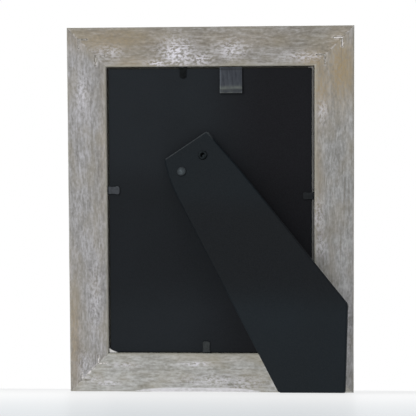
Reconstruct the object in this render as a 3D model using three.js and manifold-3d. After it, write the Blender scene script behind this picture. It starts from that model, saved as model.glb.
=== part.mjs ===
// Free-standing picture frame for a 13 x 18 cm print, standing in portrait format on its strut.
// Millimetres, +Z up. The back of the frame faces -Y, and its top leans towards -Y.
// Four mitred, rabbeted rails hold the glass, the print, a filler card and a backing board.
// Steel tongues keep the board in, and a hinged strut with two foot edges props the frame up.

import * as THREE from 'three';
import { mergeVertices } from 'three/addons/utils/BufferGeometryUtils.js';
import Module from 'manifold-3d';

const wasm = await Module();
wasm.setup();

// Driving dimensions of the frame
const openingWidth = 131;
const openingHeight = 181.9;
const borderWidth = 25;
const lipWidth = 6;
const frameDepth = 18;
const leanAngle = THREE.MathUtils.degToRad(11.5);
const frameWidth = openingWidth + 2 * borderWidth;
const frameHeight = openingHeight + 2 * borderWidth;

// Clearances: between pieces that rest on each other, round a cut, and along a mitre
const seatGap = 0.2;
const cutGap = 0.3;
const mitreGap = 0.15;

// What the rabbet holds, as depths from the back of the frame
const boardBack = 2.2;
const boardFront = boardBack + 3;
const fillerBack = boardFront + seatGap;
const fillerFront = fillerBack + 1.2;
const insertBack = fillerFront + seatGap;
const insertFront = insertBack + 0.4;
const glassBack = insertFront + seatGap;
const glassFront = glassBack + 2;
const rabbetDepth = glassFront + seatGap;

// The board is smaller than the opening and has slipped down, one of its corners is dubbed,
// and the filler card behind it, cut to the size of the print, lies high and to the left
const boardWidth = 128.4;
const boardHeight = 180.2;
const boardLeft = -64.35;
const boardLow = borderWidth + 0.4;
const boardCorner = 1.2;
const boardEdge = 0.3;
const dubbedCorner = 3.6;
const sheetMargin = 0.3;
const printWidth = 127;
const printHeight = 178;
const fillerRight = 61.8;
const fillerLow = borderWidth + 3.5;

// The worn flat: how far it reaches along the rail, up its back and in at its foot
const wornLength = 90;
const wornMiddle = -8.8;
const wornHeight = 3.5;
const wornDepth = 1.3;

// V nails across the mitres
const vNailInsets = { outer: 7.6, inner: 18.3 };
const vNailArm = 5.4;
const vNailStrip = 0.6;
const vNailSunk = 0.4;
const vNailHeight = 9.5;

// Steel tabs: a root driven into the rail and a tongue bent over the board
const tabWidth = 5;
const tabThickness = 0.5;
const tabRoot = 8;
const tabTip = 1.7;
const tabLevel = boardBack - seatGap - tabThickness;
const tabBendOffset = 0.4;

// Ribbon for pulling the board out
const ribbonWidth = 14;
const ribbonCentre = 13.2;
const ribbonTop = frameHeight - borderWidth - 0.5;
const ribbonEnd = 190.1;
const ribbonFold = 1.8;
const ribbonFlat = 1.1;

// Strut: where the middle of its top edge lies on the back, and which way it points
const strutTopX = -15.5;
const strutTopHeight = 157;
const strutSlope = THREE.MathUtils.degToRad(55.5);
const strutOpening = THREE.MathUtils.degToRad(22.5);
const strutThickness = 3;
const strutOverhang = 3;
const strutTopHalfWidth = 16.2;
const strutTopSkew = 0.5;
const strutFlares = {
  left: [[11, 20.4], [31, 22.4], [72, 25.4], [121, 30.3]],
  right: [[9, 16.9], [26, 19], [62, 22], [112, 26.2]],
};
const strutTip = -0.9;
const footLength = 39.3;
const sideFootLength = 51.5;
const footAngle = THREE.MathUtils.degToRad(91.2);
const strutCorner = 1.1;
const strutEdge = 0.6;

// Hinge: two leaves of steel plate on one pin, with a tooth that stops the strut when open
const pinRadius = 0.9;
const boreRadius = 0.98;
const knuckleRadius = 1.8;
const leafThickness = 0.8;
const hingeMiddle = -2.55;
const hingeWidth = 26;
const middleKnuckle = 9;
const strutLeafLength = 15;
const boardLeafLength = 22;
const stopBarLength = 4.2;
const stopToothThickness = 1.5;
const leafCorner = 2.5;
const windowCorner = 0.5;
const pinHead = { radius: 1.5, thickness: 0.8 };

// Rivets: their shanks, their heads on the outside and their tails on the inside
const rivetShank = 1.2;
const tubeRivetShank = 1.6;
const tubeRivetWall = 0.4;
const tubeRivetDepth = 1.2;
const rivetHead = 3;
const rivetDome = 1;
const rivetTail = { flange: 0.7, thickness: 0.6 };
const headGap = 0.1;
const strutRivets = { left: [9.9, -10.7], right: [9, 6] };
const boardRivetRow = 18;
const boardRivetSpread = 7;
const boardRivetHead = 2.2;
const boardRivetDome = 0.8;

const roundSides = 24;

// Solids: joining and cutting

function toSolid(geometry) {
  const bare = geometry.index ? geometry.toNonIndexed() : geometry.clone();
  bare.deleteAttribute('normal');
  bare.deleteAttribute('uv');
  const merged = mergeVertices(bare, 1e-4);
  return new wasm.Manifold(new wasm.Mesh({
    numProp: 3,
    vertProperties: new Float32Array(merged.attributes.position.array),
    triVerts: new Uint32Array(merged.index.array),
  }));
}

function toGeometry(solid) {
  const mesh = solid.getMesh();
  const geometry = new THREE.BufferGeometry();
  geometry.setAttribute('position', new THREE.BufferAttribute(mesh.vertProperties, 3));
  geometry.setIndex(new THREE.BufferAttribute(mesh.triVerts, 1));
  geometry.computeVertexNormals();
  return geometry;
}

function cut(geometry, cutters) {
  return toGeometry(cutters.map(toSolid).reduce((rest, cutter) => rest.subtract(cutter), toSolid(geometry)));
}

function join(geometries) {
  return toGeometry(geometries.map(toSolid).reduce((sum, next) => sum.add(next)));
}

function intersect(first, second) {
  return toGeometry(toSolid(first).intersect(toSolid(second)));
}

// Outlines

// Corners in order, each as [x, y, rounding].
function roundedPolygon(corners) {
  const shape = new THREE.Shape();
  corners.forEach(([x, y, rounding = 0], index) => {
    const corner = new THREE.Vector2(x, y);
    const [beforeX, beforeY] = corners.at(index - 1);
    const [afterX, afterY] = corners[(index + 1) % corners.length];
    const start = new THREE.Vector2(beforeX - x, beforeY - y).setLength(rounding).add(corner);
    const end = new THREE.Vector2(afterX - x, afterY - y).setLength(rounding).add(corner);
    if (index === 0) shape.moveTo(start.x, start.y);
    else shape.lineTo(start.x, start.y);
    if (rounding > 0) shape.quadraticCurveTo(x, y, end.x, end.y);
  });
  shape.closePath();
  return shape;
}

function rectangle(left, right, low, high, rounding = 0) {
  return roundedPolygon([
    [left, low, rounding],
    [right, low, rounding],
    [right, high, rounding],
    [left, high, rounding],
  ]);
}

// Basic bodies

// A plate on an outline in the xy plane, between two heights along z.
function plate(outline, low, high, bevel = 0) {
  const geometry = new THREE.ExtrudeGeometry(outline, {
    depth: high - low - 2 * bevel,
    bevelEnabled: bevel > 0,
    bevelThickness: bevel,
    bevelSize: bevel,
    bevelOffset: -bevel,
    bevelSegments: 2,
    curveSegments: roundSides / 4,
  });
  return geometry.translate(0, 0, low + bevel);
}

// A slab on an outline in the xz plane, the plane of the frame, between two depths along y.
function slab(outline, back, front, bevel = 0) {
  return plate(outline, back, front, bevel).rotateX(Math.PI / 2).translate(0, back + front, 0);
}

// A round bar along z, and one along y.
function roundBar(x, y, radius, low, high) {
  const bar = new THREE.CylinderGeometry(radius, radius, high - low, roundSides);
  return bar.rotateX(Math.PI / 2).translate(x, y, (low + high) / 2);
}

function crossBar(radius, low, high) {
  return new THREE.CylinderGeometry(radius, radius, high - low, roundSides).translate(0, (low + high) / 2, 0);
}

// A body turned about z from a profile of [radius, height] points.
function turned(profile) {
  const points = profile.map(([radius, height]) => new THREE.Vector2(radius, height));
  return new THREE.LatheGeometry(points, roundSides).rotateX(Math.PI / 2);
}

// The profile of a domed head, from its rim up to its crown.
function dome(radius, base, rise) {
  const steps = 5;
  return Array.from({ length: steps + 1 }, (_, step) => {
    const turn = step / steps * Math.PI / 2;
    return [step === steps ? 0 : radius * Math.cos(turn), base + rise * Math.sin(turn)];
  });
}

// Finishes

const finishes = {
  wood: { color: 0x9d9a93, roughness: 0.85, metalness: 0 },
  blackBoard: { color: 0x23282b, roughness: 0.75, metalness: 0 },
  greyCard: { color: 0x55534e, roughness: 0.9, metalness: 0 },
  whitePaper: { color: 0xe9e8e4, roughness: 0.9, metalness: 0 },
  clearGlass: { color: 0xdfe8e6, roughness: 0.05, metalness: 0, transparent: true, opacity: 0.35 },
  steel: { color: 0x7c8084, roughness: 0.4, metalness: 1 },
  blackSteel: { color: 0x2c2f31, roughness: 0.5, metalness: 1 },
  ribbon: { color: 0x474a50, roughness: 0.8, metalness: 0 },
};

function part(name, geometry, finishName) {
  const mesh = new THREE.Mesh(geometry, new THREE.MeshStandardMaterial(finishes[finishName]));
  mesh.name = name;
  return mesh;
}

// Rails. In a side's own frame x runs along the rail, z inwards from its outer edge,
// and y from the back of the frame to its front.

function railProfile() {
  const inner = borderWidth + lipWidth;
  const sightBevel = 2;
  return roundedPolygon([
    [0, 0, 0.9],
    [borderWidth, 0, 0.9],
    [borderWidth, rabbetDepth],
    [inner, rabbetDepth],
    [inner, frameDepth - sightBevel, 0.6],
    [inner - sightBevel, frameDepth, 0.6],
    [0, frameDepth, 1.8],
  ]);
}

function mitredBar(length) {
  const bar = plate(railProfile(), -length / 2, length / 2).rotateY(-Math.PI / 2);
  const inner = borderWidth + lipWidth;
  const half = length / 2 - mitreGap * Math.SQRT2;
  const between = roundedPolygon([
    [-half - 1, -1],
    [half + 1, -1],
    [half - inner - 1, inner + 1],
    [-half + inner + 1, inner + 1],
  ]);
  return intersect(bar, slab(between, -1, frameDepth + 1));
}

// An L with its corner towards the outer corner of the frame and an arm along each edge.
// The side is 1 for the end of a rail at -x and -1 for the end at +x.
function vNailOutline(inset, margin, side = 1) {
  const near = inset - vNailStrip / 2 - margin;
  const inside = inset + vNailStrip / 2 + margin;
  const far = inset + vNailArm + margin;
  return roundedPolygon([
    [near * side, near],
    [far * side, near],
    [far * side, inside],
    [inside * side, inside],
    [inside * side, far],
    [near * side, far],
  ]);
}

function vNailSlots(length) {
  const bottom = vNailSunk + vNailHeight + cutGap;
  return Object.values(vNailInsets).flatMap((inset) => [1, -1].map((side) => {
    const slot = slab(vNailOutline(inset, cutGap, side), -1, bottom);
    return slot.translate(-side * length / 2, 0, 0);
  }));
}

function tabSlot(along) {
  const half = tabWidth / 2 + cutGap;
  const outline = rectangle(along - half, along + half, borderWidth - tabRoot - cutGap, borderWidth + 1);
  return slab(outline, tabLevel - cutGap, tabLevel + tabThickness + cutGap);
}

// The cutter for the worn flat on the lower back edge of the bottom rail, a long shallow
// slope that runs out to nothing at both ends.
function wornFlat() {
  const slope = Math.atan(wornDepth / wornHeight);
  const deepest = wornHeight * Math.sin(slope);
  const steps = 24;
  const past = 1.04;
  const halfCut = 8;
  const outline = new THREE.Shape(Array.from({ length: steps + 1 }, (_, step) => {
    const share = past * (2 * step / steps - 1);
    return new THREE.Vector2(wornMiddle + share * wornLength / 2, deepest * (1 - share ** 4));
  }));
  return plate(outline, -halfCut, halfCut).rotateX(slope);
}

// The tongue is a strip with a rounded tip. It starts at the bend, just clear of its root.
function tabTongue(along, reach) {
  const start = borderWidth + tabBendOffset;
  const end = borderWidth + reach;
  const outline = roundedPolygon([
    [along - tabWidth / 2, start],
    [along + tabWidth / 2, start],
    [along + tabWidth / 2, end, tabTip],
    [along - tabWidth / 2, end, tabTip],
  ]);
  return slab(outline, tabLevel, tabLevel + tabThickness);
}

function tabRootStrip(along) {
  const start = borderWidth - tabRoot;
  const end = borderWidth + tabBendOffset - cutGap;
  const half = tabWidth / 2;
  return slab(rectangle(along - half, along + half, start, end), tabLevel, tabLevel + tabThickness);
}

// One side of the frame: its rail, and the tab that is driven into it.
function side({ rail, turn, x, z, length, tab, along, reach, worn, tabFinish }) {
  const group = new THREE.Group();
  group.position.set(x, 0, z);
  group.rotation.y = THREE.MathUtils.degToRad(turn);
  const cutters = [...vNailSlots(length), tabSlot(along)];
  if (worn) cutters.push(wornFlat());
  group.add(part(rail, cut(mitredBar(length), cutters), 'wood'));
  group.add(part(`flex_root_${tab}`, tabRootStrip(along), tabFinish));
  group.add(part(`flex_tab_${tab}`, tabTongue(along, reach), tabFinish));
  return group;
}

const sides = [
  { rail: 'rail_bottom', turn: 0, x: 0, z: 0, length: frameWidth,
    tab: 'bottom', along: -3.1, reach: 7.5, worn: true, tabFinish: 'blackSteel' },
  { rail: 'rail_top', turn: 180, x: 0, z: frameHeight, length: frameWidth,
    tab: 'top', along: 17.1, reach: 7.3, tabFinish: 'blackSteel' },
  { rail: 'stile_left', turn: 90, x: -frameWidth / 2, z: frameHeight / 2, length: frameHeight,
    tab: 'left', along: -13.1, reach: 7.7, tabFinish: 'steel' },
  { rail: 'stile_right', turn: -90, x: frameWidth / 2, z: frameHeight / 2, length: frameHeight,
    tab: 'right', along: 9.3, reach: 7.3, tabFinish: 'blackSteel' },
];

const corners = [
  { corner: 'bl', turn: 0, x: -frameWidth / 2, z: 0 },
  { corner: 'br', turn: -90, x: frameWidth / 2, z: 0 },
  { corner: 'tr', turn: 180, x: frameWidth / 2, z: frameHeight },
  { corner: 'tl', turn: 90, x: -frameWidth / 2, z: frameHeight },
];

function cornerNails({ corner, turn, x, z }) {
  const group = new THREE.Group();
  group.position.set(x, 0, z);
  group.rotation.y = THREE.MathUtils.degToRad(turn);
  for (const [place, inset] of Object.entries(vNailInsets)) {
    const nail = slab(vNailOutline(inset, 0), vNailSunk, vNailSunk + vNailHeight);
    group.add(part(`v_nail_${corner}_${place}`, nail, 'steel'));
  }
  return group;
}

// The pack in the rabbet

function fullSheet(back, front) {
  const half = openingWidth / 2 - sheetMargin;
  const low = borderWidth + sheetMargin;
  return slab(rectangle(-half, half, low, frameHeight - low), back, front);
}

function fillerCard() {
  const outline = rectangle(fillerRight - printWidth, fillerRight, fillerLow, fillerLow + printHeight);
  return slab(outline, fillerBack, fillerFront);
}

function backingBoard(holes) {
  const right = boardLeft + boardWidth;
  const high = boardLow + boardHeight;
  const outline = roundedPolygon([
    [boardLeft, boardLow, dubbedCorner],
    [right, boardLow, boardCorner],
    [right, high, boardCorner],
    [boardLeft, high, boardCorner],
  ]);
  return cut(slab(outline, boardBack, boardFront, boardEdge), holes);
}

// The ribbon is doubled, its folded end hangs free and stands a little off the board.
function pullTab() {
  const inner = boardBack - seatGap;
  const outer = inner - ribbonFlat;
  const fold = inner - ribbonFold;
  const bend = ribbonEnd + 6;
  const profile = new THREE.Shape();
  profile.moveTo(inner, ribbonTop);
  profile.lineTo(outer, ribbonTop);
  profile.lineTo(outer, bend);
  profile.quadraticCurveTo(outer, ribbonEnd + ribbonFold, fold, ribbonEnd + ribbonFold / 2);
  profile.quadraticCurveTo(fold, ribbonEnd, (inner + fold) / 2, ribbonEnd);
  profile.quadraticCurveTo(inner, ribbonEnd, inner, ribbonEnd + ribbonFold / 2);
  profile.closePath();
  const half = ribbonWidth / 2;
  const strip = plate(profile, ribbonCentre - half, ribbonCentre + half);
  return strip.rotateX(Math.PI / 2).rotateZ(Math.PI / 2);
}

// The hinge. In its frame x points down along the strut, y across it and z out of the
// back, with the pin on the y axis. The strut's frame is the same, turned open about y.

const strutLow = knuckleRadius + seatGap;
const strutHigh = strutLow + strutThickness;

function hingeFrame() {
  const down = new THREE.Vector3(Math.cos(strutSlope), 0, -Math.sin(strutSlope));
  const across = new THREE.Vector3(Math.sin(strutSlope), 0, Math.cos(strutSlope));
  const out = new THREE.Vector3(0, -1, 0);
  const topEdge = strutOverhang * Math.cos(strutOpening) + strutHigh * Math.sin(strutOpening);
  const group = new THREE.Group();
  group.quaternion.setFromRotationMatrix(new THREE.Matrix4().makeBasis(down, across, out));
  group.position.set(strutTopX, boardBack - seatGap - knuckleRadius, strutTopHeight);
  group.position.addScaledVector(down, topEdge);
  return group;
}

const hingeLow = hingeMiddle - hingeWidth / 2;
const hingeHigh = hingeMiddle + hingeWidth / 2;
const knuckleEnd = middleKnuckle / 2 - mitreGap;

function holes(spots, radius, low, high) {
  return spots.map(([x, y]) => roundBar(x, y, radius, low, high));
}

const boardRivets = {
  left: [boardRivetRow, hingeMiddle - boardRivetSpread],
  right: [boardRivetRow, hingeMiddle + boardRivetSpread],
};

// The leaf on the board runs on under the knuckles, and ends in the bar that stops the tooth.
function boardLeaf() {
  const low = -knuckleRadius;
  const high = low + leafThickness;
  const flat = plate(rectangle(-stopBarLength, boardLeafLength, hingeLow, hingeHigh, leafCorner), low, high);
  const window = rectangle(
    -knuckleRadius - cutGap,
    knuckleRadius + cutGap,
    hingeMiddle - knuckleEnd - cutGap,
    hingeMiddle + knuckleEnd + cutGap,
    windowCorner,
  );
  const knuckles = [
    crossBar(knuckleRadius, hingeLow, hingeMiddle - middleKnuckle / 2 - mitreGap),
    crossBar(knuckleRadius, hingeMiddle + middleKnuckle / 2 + mitreGap, hingeHigh),
  ];
  return cut(join([cut(flat, [plate(window, low - 1, high + 1)]), ...knuckles]), [
    crossBar(boreRadius, hingeLow - 1, hingeHigh + 1),
    ...holes(Object.values(boardRivets), rivetShank + cutGap, low - 1, high + 1),
  ]);
}

// The leaf on the strut has the middle knuckle, with the tooth that meets the bar.
function strutLeaf() {
  const high = knuckleRadius;
  const low = high - leafThickness;
  const neck = knuckleRadius + 2 * cutGap;
  const wide = rectangle(neck, strutLeafLength, hingeLow, hingeHigh, leafCorner);
  const narrow = rectangle(0, neck + leafCorner, hingeMiddle - knuckleEnd, hingeMiddle + knuckleEnd);
  const toothFoot = leafThickness - knuckleRadius + headGap;
  const toothReach = stopBarLength - 2 * cutGap;
  const toothEdge = 0.3;
  const tooth = plate(
    rectangle(-toothReach, 0, toothFoot, toothFoot + stopToothThickness, toothEdge),
    -hingeMiddle - knuckleEnd,
    -hingeMiddle + knuckleEnd,
  );
  return cut(
    join([
      plate(wide, low, high),
      plate(narrow, low, high),
      crossBar(knuckleRadius, hingeMiddle - knuckleEnd, hingeMiddle + knuckleEnd),
      tooth.rotateX(Math.PI / 2).rotateY(strutOpening),
    ]),
    [
      crossBar(boreRadius, hingeLow - 1, hingeHigh + 1),
      roundBar(...strutRivets.left, rivetShank + cutGap, low - 1, high + 1),
      roundBar(...strutRivets.right, tubeRivetShank + cutGap, low - 1, high + 1),
    ],
  );
}

// The pin is peened over at both ends.
function hingePin() {
  const middle = (hingeLow + hingeHigh) / 2;
  const half = (hingeHigh - hingeLow) / 2 + seatGap;
  const upperHalf = [[pinRadius, half], ...dome(pinHead.radius, half, pinHead.thickness)];
  const lowerHalf = upperHalf.map(([radius, height]) => [radius, -height]).reverse();
  const profile = [...lowerHalf, ...upperHalf].map(([radius, height]) => new THREE.Vector2(radius, height));
  return new THREE.LatheGeometry(profile, roundSides).translate(0, middle, 0);
}

// A rivet through the backing board: domed on the leaf, flat in a pocket on the inner side.
function boardRivet([x, y]) {
  const innerFace = boardBack - boardFront - knuckleRadius - seatGap;
  const tailLow = innerFace + headGap;
  const tailHigh = tailLow + rivetTail.thickness;
  const leafFace = leafThickness - knuckleRadius + headGap;
  const profile = [
    [0, tailLow],
    [boardRivetHead, tailLow],
    [boardRivetHead, tailHigh],
    [rivetShank, tailHigh],
    [rivetShank, leafFace],
    ...dome(boardRivetHead, leafFace, boardRivetDome),
  ];
  return turned(profile).translate(x, y, 0);
}

function boardRivetHoles() {
  const innerFace = boardBack - boardFront - knuckleRadius - seatGap;
  const spots = Object.values(boardRivets);
  return [
    ...holes(spots, rivetShank + cutGap, innerFace - 1, 0),
    ...holes(spots, boardRivetHead + cutGap, innerFace - 1, innerFace + 1),
  ];
}

// A rivet through the strut and its leaf, with its tail spread under the leaf.
function strutRivetTail(shank) {
  const tailHigh = knuckleRadius - leafThickness - seatGap;
  const tailLow = tailHigh - rivetTail.thickness;
  return [
    [0, tailLow],
    [shank + rivetTail.flange, tailLow],
    [shank + rivetTail.flange, tailHigh],
    [shank, tailHigh],
    [shank, strutHigh + headGap],
  ];
}

function domedRivet([x, y]) {
  const face = strutHigh + headGap;
  const rim = 0.3;
  const head = [[rivetHead, face], ...dome(rivetHead, face + rim, rivetDome)];
  return turned([...strutRivetTail(rivetShank), ...head]).translate(x, y, 0);
}

// The second rivet is half tubular: its rim is rolled over round a short blind bore.
function tubeRivet([x, y]) {
  const face = strutHigh + headGap;
  const bore = tubeRivetShank - tubeRivetWall;
  const boreEnd = face - tubeRivetDepth;
  const rollRadius = (rivetHead - bore) / 2;
  const rollMiddle = bore + rollRadius;
  const rollHeight = 0.9;
  const rollSteps = 6;
  const roll = Array.from({ length: rollSteps + 1 }, (_, step) => {
    const turn = step / rollSteps * Math.PI;
    return [rollMiddle + rollRadius * Math.cos(turn), face + rollHeight * Math.sin(turn)];
  });
  const profile = [...strutRivetTail(tubeRivetShank), ...roll, [bore, boreEnd], [0, boreEnd]];
  return turned(profile).translate(x, y, 0);
}

// How far down the strut its lower face meets the table, for a place across it.
function footLine(strutGroup, tableHeight) {
  strutGroup.updateWorldMatrix(true, false);
  const heightAt = (down, across) => {
    return new THREE.Vector3(down, across, strutLow).applyMatrix4(strutGroup.matrixWorld).z - tableHeight;
  };
  const level = heightAt(0, 0);
  const perDown = heightAt(1, 0) - level;
  const perAcross = heightAt(0, 1) - level;
  return (across) => -(level + across * perAcross) / perDown;
}

// The strut widens quickly below its top and then evenly down to its two foot edges.
// They meet at a little over a right angle: one lies on the table when the frame stands
// upright, the other when it stands on its long side.
function strutOutline(footAt) {
  const tip = new THREE.Vector2(footAt(strutTip), strutTip);
  const foot = new THREE.Vector2(footAt(strutTip - 1), strutTip - 1).sub(tip).setLength(footLength);
  const heel = foot.clone().add(tip);
  const sideFoot = foot.clone().rotateAround(new THREE.Vector2(), -footAngle);
  const sideHeel = sideFoot.setLength(sideFootLength).add(tip);
  const left = strutFlares.left.map(([down, halfWidth]) => new THREE.Vector2(down, -halfWidth));
  const right = strutFlares.right.map(([down, halfWidth]) => new THREE.Vector2(down, halfWidth));
  const topLeft = new THREE.Vector2(-strutOverhang - strutTopSkew, -strutTopHalfWidth);
  const topRight = new THREE.Vector2(-strutOverhang + strutTopSkew, strutTopHalfWidth);
  const near = (corner, other) => {
    return other.clone().sub(corner).setLength(strutCorner).add(corner);
  };
  const shape = new THREE.Shape();
  shape.moveTo(...near(heel, tip));
  shape.lineTo(...near(tip, heel));
  shape.quadraticCurveTo(...tip, ...near(tip, sideHeel));
  shape.lineTo(...near(sideHeel, tip));
  shape.quadraticCurveTo(...sideHeel, ...near(sideHeel, right.at(-1)));
  shape.splineThru([...right.slice().reverse(), near(topRight, right[0])]);
  shape.quadraticCurveTo(...topRight, ...near(topRight, topLeft));
  shape.lineTo(...near(topLeft, topRight));
  shape.quadraticCurveTo(...topLeft, ...near(topLeft, left[0]));
  shape.splineThru([...left, near(heel, left.at(-1))]);
  shape.quadraticCurveTo(...heel, ...near(heel, tip));
  return shape;
}

function strutBoard(footAt) {
  return cut(plate(strutOutline(footAt), strutLow, strutHigh, strutEdge), [
    roundBar(...strutRivets.left, rivetShank + cutGap, strutLow - 1, strutHigh + 1),
    roundBar(...strutRivets.right, tubeRivetShank + cutGap, strutLow - 1, strutHigh + 1),
  ]);
}

// Assembly: everything is built on the upright frame, which is then leaned back

function assemble() {
  const leaning = new THREE.Group();
  leaning.rotation.x = leanAngle;
  sides.forEach((oneSide) => leaning.add(side(oneSide)));
  const tableHeight = new THREE.Box3().setFromObject(leaning, true).min.z;
  corners.forEach((corner) => leaning.add(cornerNails(corner)));
  leaning.add(part('glass', fullSheet(glassBack, glassFront), 'clearGlass'));
  leaning.add(part('photo_insert', fullSheet(insertBack, insertFront), 'whitePaper'));
  leaning.add(part('filler_card', fillerCard(), 'greyCard'));
  leaning.add(part('pull_tab', pullTab(), 'ribbon'));

  const hinge = hingeFrame();
  hinge.updateMatrix();
  const boardHoles = boardRivetHoles().map((hole) => hole.applyMatrix4(hinge.matrix));
  leaning.add(part('backing_board', backingBoard(boardHoles), 'blackBoard'));
  leaning.add(hinge);
  hinge.add(part('hinge_leaf_board', boardLeaf(), 'blackSteel'));
  hinge.add(part('hinge_pin', hingePin(), 'steel'));
  hinge.add(part('board_rivet_left', boardRivet(boardRivets.left), 'steel'));
  hinge.add(part('board_rivet_right', boardRivet(boardRivets.right), 'steel'));

  const strut = new THREE.Group();
  strut.rotation.y = -strutOpening;
  hinge.add(strut);
  strut.add(part('strut', strutBoard(footLine(strut, tableHeight)), 'blackBoard'));
  strut.add(part('hinge_leaf_strut', strutLeaf(), 'blackSteel'));
  strut.add(part('strut_rivet_left', domedRivet(strutRivets.left), 'steel'));
  strut.add(part('strut_rivet_right', tubeRivet(strutRivets.right), 'blackSteel'));

  const bounds = new THREE.Box3().setFromObject(leaning, true);
  const centre = bounds.getCenter(new THREE.Vector3());
  leaning.position.set(-centre.x, -centre.y, -bounds.min.z);
  const frame = new THREE.Group();
  frame.add(leaning);
  return frame;
}

export default assemble();
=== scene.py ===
"""A weathered wooden picture frame seen from behind, standing on its strut."""

import math

import bmesh
import bpy
from mathutils import Matrix, Vector, noise


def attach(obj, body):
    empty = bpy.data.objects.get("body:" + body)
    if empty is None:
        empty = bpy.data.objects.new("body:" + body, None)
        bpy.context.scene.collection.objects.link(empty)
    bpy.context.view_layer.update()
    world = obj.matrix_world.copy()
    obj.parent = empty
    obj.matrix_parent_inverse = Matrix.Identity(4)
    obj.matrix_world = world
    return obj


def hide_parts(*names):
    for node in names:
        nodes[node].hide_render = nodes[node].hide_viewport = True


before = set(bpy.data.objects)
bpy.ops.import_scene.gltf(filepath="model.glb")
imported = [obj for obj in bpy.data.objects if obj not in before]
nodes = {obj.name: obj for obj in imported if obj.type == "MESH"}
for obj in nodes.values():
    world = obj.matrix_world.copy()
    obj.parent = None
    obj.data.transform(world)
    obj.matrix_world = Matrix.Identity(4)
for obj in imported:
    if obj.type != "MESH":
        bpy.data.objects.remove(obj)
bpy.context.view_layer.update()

# Sizes in millimetres. The frame is measured upright in its own plane: x across, y from
# its back to its front, z up its back. FOOT is the middle of its lower back edge, as it
# was before the edge was eased, in the shared frame. BORDER is the rails' width on the
# back, and LIP what they reach further in, in front of the glass. RABBET and BOARD_BACK
# are how deep the glass's seat and the board's back lie.
MM = 0.001
LEAN = math.radians(11.5)
FOOT = Vector((0, 29.0645, -0.1491))
WIDTH = 181.0
HEIGHT = 231.9
BORDER = 25.0
LIP = 6.0
DEPTH = 18.0
RABBET = 9.6
BOARD_BACK = 2.2

# For each side of the frame, its turn about y in degrees and the place of its outer
# edge's middle, as x and z
SIDES = {
    "bottom": (0, 0, 0),
    "top": (180, 0, HEIGHT),
    "left": (90, -WIDTH / 2, HEIGHT / 2),
    "right": (-90, WIDTH / 2, HEIGHT / 2),
}

# Turns the frame's own coordinates into the shared ones: leaned back, and in metres
LEANED = (
    Matrix.Scale(MM, 4)
    @ Matrix.Translation(FOOT)
    @ Matrix.Rotation(LEAN, 4, "X")
)


# Meshes


def finished(bm, name, body, material, smooth=True):
    """Turns a bmesh into a piece that rides on a body and has its material."""
    mesh = bpy.data.meshes.new(name)
    bm.to_mesh(mesh)
    bm.free()
    mesh.materials.append(material)
    for polygon in mesh.polygons:
        polygon.use_smooth = smooth
    piece = bpy.data.objects.new(name, mesh)
    bpy.context.scene.collection.objects.link(piece)
    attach(piece, body)
    return piece


def cutter_from(bm):
    """A body to cut from others, made of a bmesh."""
    mesh = bpy.data.meshes.new("cutter")
    bm.to_mesh(mesh)
    bm.free()
    cutter = bpy.data.objects.new("cutter", mesh)
    bpy.context.scene.collection.objects.link(cutter)
    return cutter


def cut_with(pieces, cutter):
    """Cuts a body out of pieces and removes it."""
    for piece in pieces:
        cut = piece.modifiers.new("cut", "BOOLEAN")
        cut.operation = "DIFFERENCE"
        cut.solver = "EXACT"
        cut.object = cutter
        graph = bpy.context.evaluated_depsgraph_get()
        applied = bpy.data.meshes.new_from_object(piece.evaluated_get(graph))
        piece.modifiers.clear()
        piece.data = applied
    bpy.data.objects.remove(cutter)


def outline_face(bm, corners, segments=4):
    """A face through corners, each given as (x, y, z) or as (x, y, z, rounding)."""
    verts = [bm.verts.new(corner[:3]) for corner in corners]
    bm.faces.new(verts)
    for vert, corner in zip(verts, corners):
        rounding = corner[3] if len(corner) > 3 else 0
        if rounding > 0:
            bmesh.ops.bevel(
                bm, geom=[vert], offset=rounding, segments=segments,
                affect="VERTICES", profile=0.5, material=-1,
            )


def extruded(bm, offset):
    """Extrudes the only face of a bmesh into a closed body and returns its far vertices."""
    bm.faces.ensure_lookup_table()
    made = bmesh.ops.extrude_face_region(bm, geom=[bm.faces[0]])["geom"]
    far = [item for item in made if isinstance(item, bmesh.types.BMVert)]
    bmesh.ops.translate(bm, verts=far, vec=offset)
    bmesh.ops.recalc_face_normals(bm, faces=bm.faces[:])
    return far


def on_side(side):
    """Where a side of the frame is: x runs along it and z in towards the middle."""
    turn, x, z = SIDES[side]
    return Matrix.Translation((x, 0, z)) @ Matrix.Rotation(math.radians(turn), 4, "Y")


def hill(value, middle, spread):
    """1 in the middle, falling smoothly to nearly 0 at two spreads from it."""
    return math.exp(-(((value - middle) / spread) ** 2))


# Materials


def linear(code):
    """An sRGB hex colour as linear RGBA."""
    channels = [int(code[i:i + 2], 16) / 255 for i in (1, 3, 5)]
    return tuple(
        c / 12.92 if c <= 0.04045 else ((c + 0.055) / 1.055) ** 2.4 for c in channels
    ) + (1.0,)


def add(tree, kind, inputs=None, **settings):
    """Adds a shader node, with its settings, and its inputs set or linked."""
    made = tree.nodes.new(kind)
    for name, value in settings.items():
        setattr(made, name, value)
    for socket, value in (inputs or {}).items():
        if isinstance(value, bpy.types.NodeSocket):
            tree.links.new(value, made.inputs[socket])
        else:
            made.inputs[socket].default_value = value
    return made


def new_material(name):
    """An empty material and its tree, with a Principled shader on the output."""
    material = bpy.data.materials.new(name)
    material.use_nodes = True
    tree = material.node_tree
    tree.nodes.clear()
    shader = add(tree, "ShaderNodeBsdfPrincipled")
    add(tree, "ShaderNodeOutputMaterial", {"Surface": shader.outputs["BSDF"]})
    return material, tree, shader


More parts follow.
